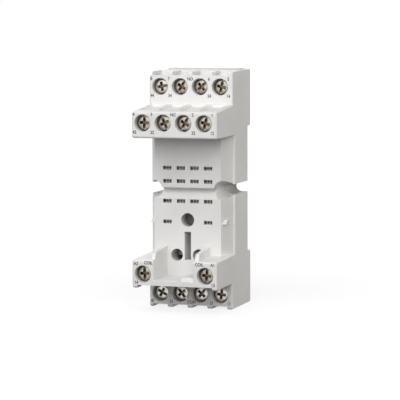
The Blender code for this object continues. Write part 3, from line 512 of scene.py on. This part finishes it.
def paintPocketShade(bm):
    # how deep each point lies in a well, slot or hole, for painted shade inside the moulding
    own = housingSettings
    face = own["plateFace"]
    boxes = [(*own["keyway"], face, *own["keywayDark"])]
    for row, z in slotSettings["rows"].items():
        boxes += [(x, z, *own["slotHalf"], face, *own["slotDark"]) for x in slotColumns(row)]
    rounds = []
    for place in screwPlace.values():
        rounds.append((place.x, place.z, own["wellRadius"], place.y, *own["wellDark"]))
    for x, z, radius, depth in (own["centreHole"], *own["moduleHoles"]):
        rounds.append((x, z, radius, face, *own["holeDark"]))
    for x, z in own["scoops"]:
        rounds.append((x, z, own["scoopFloorRadius"], own["notchFace"], *own["notchDark"]))
    # painted shade: the deeper a point lies in a hollow, the darker it is, up to that hollow's own limit
    layer = bm.verts.layers.float.new("pocket")
    slack = copySettings["probe"]
    for corner in bm.verts:
        x, y, z = corner.co
        levels = [(front, depth, dark) for px, pz, wide, high, front, depth, dark in boxes
                  if abs(x - px) < wide + slack and abs(z - pz) < high + slack]
        levels += [(front, depth, dark) for px, pz, radius, front, depth, dark in rounds
                   if math.hypot(x - px, z - pz) < radius + slack]
        shades = [dark * min(1, max(0, (y - front) / depth)) for front, depth, dark in levels]
        corner[layer] = max(shades, default=0)


def makeHousing():
    own = housingSettings
    tools = []
    for place in screwPlace.values():
        length = own["wellDepth"] + own["outside"]
        middle = place + Vector((0, own["wellDepth"] - length / 2, 0))
        tools.append(barAlong("Y", middle, own["wellRadius"], length, own["sides"]))
    for x, z, radius, depth in (own["centreHole"], *own["moduleHoles"]):
        length = depth + own["outside"]
        middle = (x, own["plateFace"] + depth - length / 2, z)
        tools.append(barAlong("Y", middle, radius, length, own["sides"]))
    for x, z in own["scoops"]:
        depth = own["scoopFloor"] - own["plateFace"]
        length = depth + own["outside"]
        front = own["scoopFloorRadius"] + (own["scoopRadius"] - own["scoopFloorRadius"]) * length / depth
        middle = (x, own["scoopFloor"] - length / 2, z)
        tools.append(barAlong("Y", middle, own["scoopFloorRadius"], length, own["sides"], front))
    tools.append(prismAlong(own["groove"], -own["across"], own["across"]))
    tools.append(prismAlong(own["top"], -own["across"], own["across"]))
    tools.append(prismAlong(own["leftEnd"], -own["across"], own["leftWall"]))
    bm = combined(cleanCopy("housing"), tools, "DIFFERENCE")
    flats = [(own["plateFace"], plateCuts())]
    for faceY in sorted({round(place.y, own["faceDigits"]) for place in screwPlace.values()}):
        level = [place for place in screwPlace.values() if abs(place.y - faceY) < copySettings["merge"]]
        flats.append((faceY, [(0, place.x, *own["anyHeight"]) for place in level]))
    crisp = [(x, z, own["crispReach"]) for x, z in own["scoops"]]
    rounded = roundEdges(bm, **own["edges"], seenOnly=True, flats=flats, crisp=crisp)
    paintPocketShade(bm)
    print("housing: rounded", rounded, "edges,", len(bm.faces), "faces")
    addPiece("housingShell", toMesh(bm, "housingShell"), "housing", "base", "housing")


makeHousing()


# rear cover: soft edges and shallow ejector marks on the pads
coverSettings = {
    "padFace": 0.0028, "markRadius": 0.0011, "markDepth": 0.00008, "sides": 32,
    "marks": ((-0.0075, 0.0315), (0.0075, 0.0315), (-0.0090, -0.0330), (0.0090, -0.0330)),
    "edges": {"offset": 0.00014, "segments": 2, "sharpAngle": 40, "shortest": 0.00030},
}


def makeCover():
    own = coverSettings
    tools = [barAlong("Y", (x, own["padFace"], z), own["markRadius"], 2 * own["markDepth"], own["sides"])
             for x, z in own["marks"]]
    bm = combined(cleanCopy("rear_cover"), tools, "DIFFERENCE")
    rounded = roundEdges(bm, **own["edges"])
    print("rear cover: rounded", rounded, "edges")
    addPiece("rearCover", toMesh(bm, "rearCover"), "cover", "base", "rear_cover")


makeCover()


# rail latch and its spring
latchSettings = {"edges": {"offset": 0.00014, "segments": 3, "sharpAngle": 40, "shortest": 0.00030}}
springSettings = {
    "coilRadius": 0.0013, "wireRadius": 0.0002, "wireSides": 12, "stepsPerTurn": 28,
    "axis": (0.0, 0.000875), "low": -0.0294, "high": -0.02385, "endTurns": 0.75, "bodyTurns": 3.0,
    "endPitch": 2.1,  # wire radii per turn at the closed ends
    "fixedEnd": -0.0296, "keep": 0.57,
}


def makeLatch():
    bm = cleanCopy("rail_latch")
    rounded = roundEdges(bm, **latchSettings["edges"])
    print("rail latch: rounded", rounded, "edges")
    addPiece("railLatch", toMesh(bm, "railLatch"), "latch", "rail_latch", "rail_latch")


def makeSpring():
    own = springSettings
    bm = bmesh.new()
    axis = Vector((*own["axis"], own["low"]))
    start = axis + Vector((own["coilRadius"], 0, 0))
    upright = Matrix.Translation(start) @ Matrix.Rotation(quarterTurn, 4, "X")
    bmesh.ops.create_circle(bm, segments=own["wireSides"], radius=own["wireRadius"], matrix=upright)
    endRise = own["endTurns"] * own["endPitch"] * own["wireRadius"]
    bodyRise = own["high"] - own["low"] - 2 * endRise
    last = list(bm.verts) + list(bm.edges)
    for turns, rise in ((own["endTurns"], endRise), (own["bodyTurns"], bodyRise), (own["endTurns"], endRise)):
        steps = round(turns * own["stepsPerTurn"])
        last = bmesh.ops.spin(bm, geom=last, cent=axis, axis=(0, 0, 1), dvec=(0, 0, rise / steps),
                              angle=turns * math.tau, steps=steps)["geom_last"]
    bmesh.ops.holes_fill(bm, edges=[edge for edge in bm.edges if edge.is_boundary])
    bmesh.ops.recalc_face_normals(bm, faces=bm.faces)
    for face in bm.faces:
        face.smooth = True
    mesh = toMesh(bm, "latchSpring")
    spring = addPiece("latchSpring", mesh, "spring", "base", "latch_spring")
    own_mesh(spring)
    print("latch spring wound")


makeLatch()
makeSpring()


# contacts, with prongs that reach from the fork leaves into the slots and leave the blade's gap
contactSettings = {
    "prongs": (-0.00043, 0.00043), "prongHalf": 0.00019, "prongFrom": -0.0186, "prongTo": -0.0170,
    "prongLow": 0.00011, "prongHigh": 0.00050,
    "edges": {"offset": 0.00007, "segments": 2, "sharpAngle": 40, "shortest": 0.00018},
}
# clamp plates, with gripping grooves on the wire face
clampSettings = {
    "grooveCount": 3, "groovePitch": 0.0011, "grooveRadius": 0.00022, "grooveSides": 4,
    "wireFace": 0.0047,  # behind the tier face
    "edges": {"offset": 0.0001, "segments": 2, "sharpAngle": 40, "shortest": 0.00018},
}


def makeContact(tag):
    own = contactSettings
    row, number = tag.split("_")
    x = slotColumns(row)[int(number) - 1]
    z = slotSettings["rows"][row]
    prongs = bmesh.new()
    for prong in own["prongs"]:
        for low, high in ((own["prongLow"], own["prongHigh"]), (-own["prongHigh"], -own["prongLow"])):
            addShell(prongs, blockAt((x + prong - own["prongHalf"], own["prongFrom"], z + low),
                                     (x + prong + own["prongHalf"], own["prongTo"], z + high)))
    bm = combined(cleanCopy("contact_" + tag), [prongs], "UNION")
    roundEdges(bm, **own["edges"])
    name = "contactStrip_" + tag
    addPiece(name, toMesh(bm, name), "contact", "base", "contact_" + tag)


def makeClamp(tag):
    own = clampSettings
    low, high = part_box("clamp_" + tag)
    place = screwPlace["screw_" + tag]
    tools = []
    for index in range(own["grooveCount"]):
        z = place.z + (index - (own["grooveCount"] - 1) / 2) * own["groovePitch"]
        spot = ((low.x + high.x) / 2, place.y + own["wireFace"], z)
        tools.append(barAlong("X", spot, own["grooveRadius"], 2 * (high.x - low.x), own["grooveSides"]))
    bm = combined(cleanCopy("clamp_" + tag), tools, "DIFFERENCE")
    roundEdges(bm, **own["edges"])
    name = "clampPlate_" + tag
    addPiece(name, toMesh(bm, name), "clamp", "clamp_" + tag, "clamp_" + tag)


for terminal in terminals:
    makeContact(terminal)
    makeClamp(terminal)
print("contacts and clamps made:", len(terminals), "each")


# terminal screws: crowned pan head, straight slot with a tapered cross, threaded shank
screwSettings = {
    "crown": ((0, 0.0018), (0.0013, 0.00181), (0.0018, 0.00185), (0.00207, 0.00194), (0.00223, 0.0021),
              (0.0023, 0.00232), (0.0023, 0.0035), (0.00222, 0.0036)),  # radius, distance behind the face
    "shank": ((0.00122, 0.0036), (0.00122, 0.0086), (0.00095, 0.0089), (0, 0.0089)),
    "sides": 64, "threadRoot": 0.00115, "threadCrest": 0.00144, "threadHalf": 0.00019,
    "threadFrom": 0.0041, "pitch": 0.0005, "threadTurns": 8.5, "threadSteps": 24,
    "slotWidth": 0.00075, "slotDepth": 0.0008, "slotLength": 0.006,
    "crossLength": 0.0033, "crossWidth": 0.00105, "crossDepth": 0.0013, "crossTaper": 0.6,
    "above": 0.0005,  # how far the cutters stand out of the head
    # turn of the slot from upright in degrees, clockwise seen from the front
    "turn": {"no_1": 80, "no_2": 32, "no_3": 48, "no_4": 12, "nc_1": 2, "nc_2": -24, "nc_3": 30, "nc_4": 14,
             "coil_1": -3, "coil_2": 5, "com_1": -62, "com_2": -38, "com_3": 40, "com_4": 6},
    "paintedSheen": {"no_1": 0.25, "com_1": 0.85, "com_2": 0.75, "com_3": 0.85, "com_4": 0.7},  # painted sheen: these heads are lighter
}


def driveBlock(width, length, depth):
    # block over the middle of the head, upright, down to a depth below its crown
    own = screwSettings
    crown = own["crown"][0][1]
    return blockAt((-width / 2, crown - own["above"], -length / 2), (width / 2, crown + depth, length / 2))


def crossArm():
    # drawn in towards its floor
    own = screwSettings
    bm = driveBlock(own["crossWidth"], own["crossLength"], own["crossDepth"])
    crown = own["crown"][0][1]
    deep = [corner for corner in bm.verts if corner.co.y > crown]
    bmesh.ops.scale(bm, vec=(own["crossTaper"], 1, own["crossTaper"]), verts=deep)
    return bm


def makeThread():
    own = screwSettings
    thread = bmesh.new()
    corners = [thread.verts.new((own["threadRoot"], own["threadFrom"] - own["threadHalf"], 0)),
               thread.verts.new((own["threadCrest"], own["threadFrom"], 0)),
               thread.verts.new((own["threadRoot"], own["threadFrom"] + own["threadHalf"], 0))]
    ring = [thread.edges.new((corner, corners[index - 1])) for index, corner in enumerate(corners)]
    steps = round(own["threadTurns"] * own["threadSteps"])
    bmesh.ops.spin(thread, geom=corners + ring, cent=(0, 0, 0), axis=(0, 1, 0), steps=steps,
                   angle=own["threadTurns"] * math.tau, dvec=(0, own["pitch"] / own["threadSteps"], 0))
    bmesh.ops.holes_fill(thread, edges=[edge for edge in thread.edges if edge.is_boundary])
    bmesh.ops.recalc_face_normals(thread, faces=thread.faces)
    return thread


def makeScrewMesh():
    own = screwSettings
    bm = bmesh.new()
    points = [bm.verts.new((radius, back, 0)) for radius, back in own["crown"] + own["shank"]]
    edges = [bm.edges.new(pair) for pair in zip(points, points[1:])]
    bmesh.ops.spin(bm, geom=points + edges, cent=(0, 0, 0), axis=(0, 1, 0), angle=math.tau,
                   steps=own["sides"], use_merge=True)
    bmesh.ops.remove_doubles(bm, verts=bm.verts, dist=copySettings["merge"])
    bmesh.ops.recalc_face_normals(bm, faces=bm.faces)
    slot = driveBlock(own["slotWidth"], own["slotLength"], own["slotDepth"])
    across = crossArm()
    bmesh.ops.rotate(across, cent=(0, 0, 0), matrix=Matrix.Rotation(quarterTurn, 3, "Y"), verts=across.verts)
    bm = combined(bm, [slot, across, crossArm()], "DIFFERENCE", False)
    bmesh.ops.triangulate(bm, faces=[face for face in bm.faces if len(face.verts) > 4])
    addShell(bm, makeThread())
    for face in bm.faces:
        face.smooth = True
    local = bm.verts.layers.float_vector.new("screwPlace")
    for corner in bm.verts:
        corner[local] = corner.co
    return toMesh(bm, "terminalScrew")


def makeScrews():
    own = screwSettings
    pattern = makeScrewMesh()
    for tag in terminals:
        mesh = pattern.copy()
        turn = Matrix.Rotation(math.radians(own["turn"][tag]), 4, "Y")
        mesh.transform(Matrix.Translation(screwPlace["screw_" + tag]) @ turn)
        # painted sheen amount for this head
        paintedSheen = mesh.attributes.new("paintedSheen", "FLOAT", "POINT")
        paintedSheen.data.foreach_set("value", [own["paintedSheen"].get(tag, 0.0)] * len(mesh.vertices))
        addPiece("terminalScrew_" + tag, mesh, "screw", "screw_" + tag, "screw_" + tag)
    print("screws made:", len(terminals), "with", len(pattern.polygons), "faces each")
    bpy.data.meshes.remove(pattern)


makeScrews()


# plain terminal numbers and contact names, printed on the terminal faces
markSettings = {
    "size": 0.00138, "squeeze": 0.86, "thickness": 0.000012, "lift": 0.000006, "weight": 0.00004,
    "curveSteps": 3,
    "rows": (  # face (y), height (z), then text and x for each mark
        (-0.0159, 0.0346, (("8", -0.0128), ("7", -0.0071), ("NO", -0.0002), ("6", 0.0059), ("5", 0.0121))),
        (-0.0159, 0.0294, (("44", -0.0125), ("34", -0.0067), ("24", 0.0060), ("14", 0.0121))),
        (-0.0319, 0.0244, (("4", -0.0128), ("3", -0.0071), ("NC", -0.0002), ("2", 0.0060), ("1", 0.0121))),
        (-0.0319, 0.0190, (("42", -0.0125), ("32", -0.0069), ("22", 0.0062), ("12", 0.0121))),
        (-0.0320, -0.02095, (("A2", -0.0123),)),
        (-0.0320, -0.0206, (("COIL", -0.0083), ("COIL", 0.0079), ("A1", 0.0122))),
        (-0.0320, -0.0267, (("14", -0.0122), ("13", 0.0123))),
        (-0.0164, -0.0344, (("41", -0.0125), ("31", -0.0063), ("COM", 0.0002), ("21", 0.0068),
                            ("11", 0.0124))),
    ),
}


def markMesh(words):
    own = markSettings
    curve = bpy.data.curves.new("mark", "FONT")
    curve.body = words
    curve.size = own["size"]
    curve.align_x = "CENTER"
    curve.align_y = "CENTER"
    curve.extrude = own["thickness"]
    curve.offset = own["weight"]
    curve.resolution_u = own["curveSteps"]
    text = bpy.data.objects.new("mark", curve)
    bpy.context.scene.collection.objects.link(text)
    bpy.context.view_layer.update()
    mesh = bpy.data.meshes.new_from_object(text.evaluated_get(bpy.context.evaluated_depsgraph_get()))
    bpy.data.objects.remove(text)
    bpy.data.curves.remove(curve)
    return mesh


def makeMarks():
    own = markSettings
    squeeze = Matrix.Diagonal((own["squeeze"], 1, 1, 1))
    upright = Matrix.Rotation(quarterTurn, 4, "X")
    everything = bmesh.new()
    for face, height, marks in own["rows"]:
        for words, x in marks:
            mesh = markMesh(words)
            mesh.transform(Matrix.Translation((x, face - own["lift"], height)) @ upright @ squeeze)
            everything.from_mesh(mesh)
            bpy.data.meshes.remove(mesh)
    bmesh.ops.remove_doubles(everything, verts=everything.verts, dist=copySettings["finest"])
    addPiece("terminalMarks", toMesh(everything, "terminalMarks"), "ink", "base")
    print("marks printed:", sum(len(marks) for face, height, marks in own["rows"]))


makeMarks()


# pale floor, white surround and soft studio light
stageSettings = {
    "floorSize": 8, "floorGlow": (0.80, 1.0), "glowReach": (0.05, 0.30), "floorShade": 0.24,
    "floorBounce": 0.08, "worldLight": 0.03, "white": (1, 1, 1, 1),
    "keyPlace": (0.0, -0.44, 0.345), "keySize": 0.72, "keyPower": 3.75,
    "suns": (  # name, strength, softness in degrees, colour, direction it comes from, gives highlights
        ("rightFill", 1.8, 80, (1.0, 0.95, 0.90), (0.95, -0.5, 0.15), True),
        ("leftFill", 1.0, 50, (1.0, 1.0, 1.0), (-0.98, -0.1, 0.1), True),
        ("backFill", 2.2, 80, (1.0, 1.0, 1.0), (-0.3, 0.95, 0.12), False),
    ),
}


def seenRays(tree):
    # 1 for rays that see the surround straight, in a reflection or through something clear
    light = tree.nodes.new("ShaderNodeLightPath")
    seen = addMath(tree, "MAXIMUM", light.outputs["Is Camera Ray"], light.outputs["Is Glossy Ray"])
    return addMath(tree, "MAXIMUM", seen, light.outputs["Is Transmission Ray"])


def addDiffuse(tree, grey):
    diffuse = tree.nodes.new("ShaderNodeBsdfDiffuse")
    diffuse.inputs["Color"].default_value = (grey, grey, grey, 1)
    return diffuse.outputs["BSDF"]


def makeFloor():
    own = stageSettings
    bm = bmesh.new()
    bmesh.ops.create_grid(bm, x_segments=1, y_segments=1, size=own["floorSize"] / 2,
                          matrix=Matrix.Translation((0, 0, cadBox[0].z)))
    floor = looseObject(bm, "floor")
    material, tree, shader, place = startMaterial("paleFloor")
    tree.nodes.remove(shader)
    glow = tree.nodes.new("ShaderNodeEmission")
    strength = addRange(tree, addLength(tree, place), own["glowReach"], own["floorGlow"])
    tree.links.new(strength, glow.inputs["Strength"])
    seen = tree.nodes.new("ShaderNodeAddShader")
    tree.links.new(addDiffuse(tree, own["floorShade"]), seen.inputs[0])
    tree.links.new(glow.outputs["Emission"], seen.inputs[1])
    pick = tree.nodes.new("ShaderNodeMixShader")
    tree.links.new(seenRays(tree), pick.inputs["Fac"])
    tree.links.new(addDiffuse(tree, own["floorBounce"]), pick.inputs[1])
    tree.links.new(seen.outputs["Shader"], pick.inputs[2])
    tree.links.new(pick.outputs["Shader"], tree.nodes["Material Output"].inputs["Surface"])
    floor.data.materials.append(material)


def makeSurround():
    own = stageSettings
    world = bpy.data.worlds.new("surround")
    bpy.context.scene.world = world
    world.use_nodes = True
    tree = world.node_tree
    background = tree.nodes["Background"]
    background.inputs["Color"].default_value = own["white"]
    strength = addRange(tree, seenRays(tree), (0, 1), (own["worldLight"], 1))
    tree.links.new(strength, background.inputs["Strength"])


def addLamp(name, light, place, direction):
    lamp = bpy.data.objects.new(name, light)
    bpy.context.scene.collection.objects.link(lamp)
    lamp.location = place
    lamp.rotation_euler = Vector(direction).to_track_quat("Z", "Y").to_euler()
    return lamp


def makeLamps():
    own = stageSettings
    for name, strength, softness, colour, direction, highlights in own["suns"]:
        sun = bpy.data.lights.new(name, "SUN")
        sun.energy = strength
        sun.angle = math.radians(softness)
        sun.color = colour
        addLamp(name, sun, (0, 0, 0), direction).visible_glossy = highlights
    key = bpy.data.lights.new("keyLight", "AREA")
    key.energy = own["keyPower"]
    key.size = own["keySize"]
    addLamp("keyLight", key, own["keyPlace"], own["keyPlace"])  # turned to the origin


makeFloor()
makeSurround()
makeLamps()
bpy.context.scene.view_settings.view_transform = "Standard"
print("stage lit")


# camera where the photographer stood
cameraSettings = {
    "place": (0.19816, -0.60443, 0.05629), "target": (0.0, -0.0122, 0.0011), "roll": -0.18,
    "lens": 182.06, "sensor": 36, "shift": (0.0131, -0.0329), "nearest": 0.01,
}


def makeCamera():
    own = cameraSettings
    lens = bpy.data.cameras.new("photoCamera")
    lens.sensor_width = own["sensor"]
    lens.lens = own["lens"]
    lens.shift_x, lens.shift_y = own["shift"]
    lens.clip_start = own["nearest"]
    camera = bpy.data.objects.new("photoCamera", lens)
    bpy.context.scene.collection.objects.link(camera)
    camera.location = own["place"]
    look = (Vector(own["target"]) - camera.location).to_track_quat("-Z", "Y")
    camera.rotation_euler = (look.to_matrix() @ Matrix.Rotation(math.radians(own["roll"]), 3, "Z")).to_euler()
    bpy.context.scene.camera = camera


makeCamera()
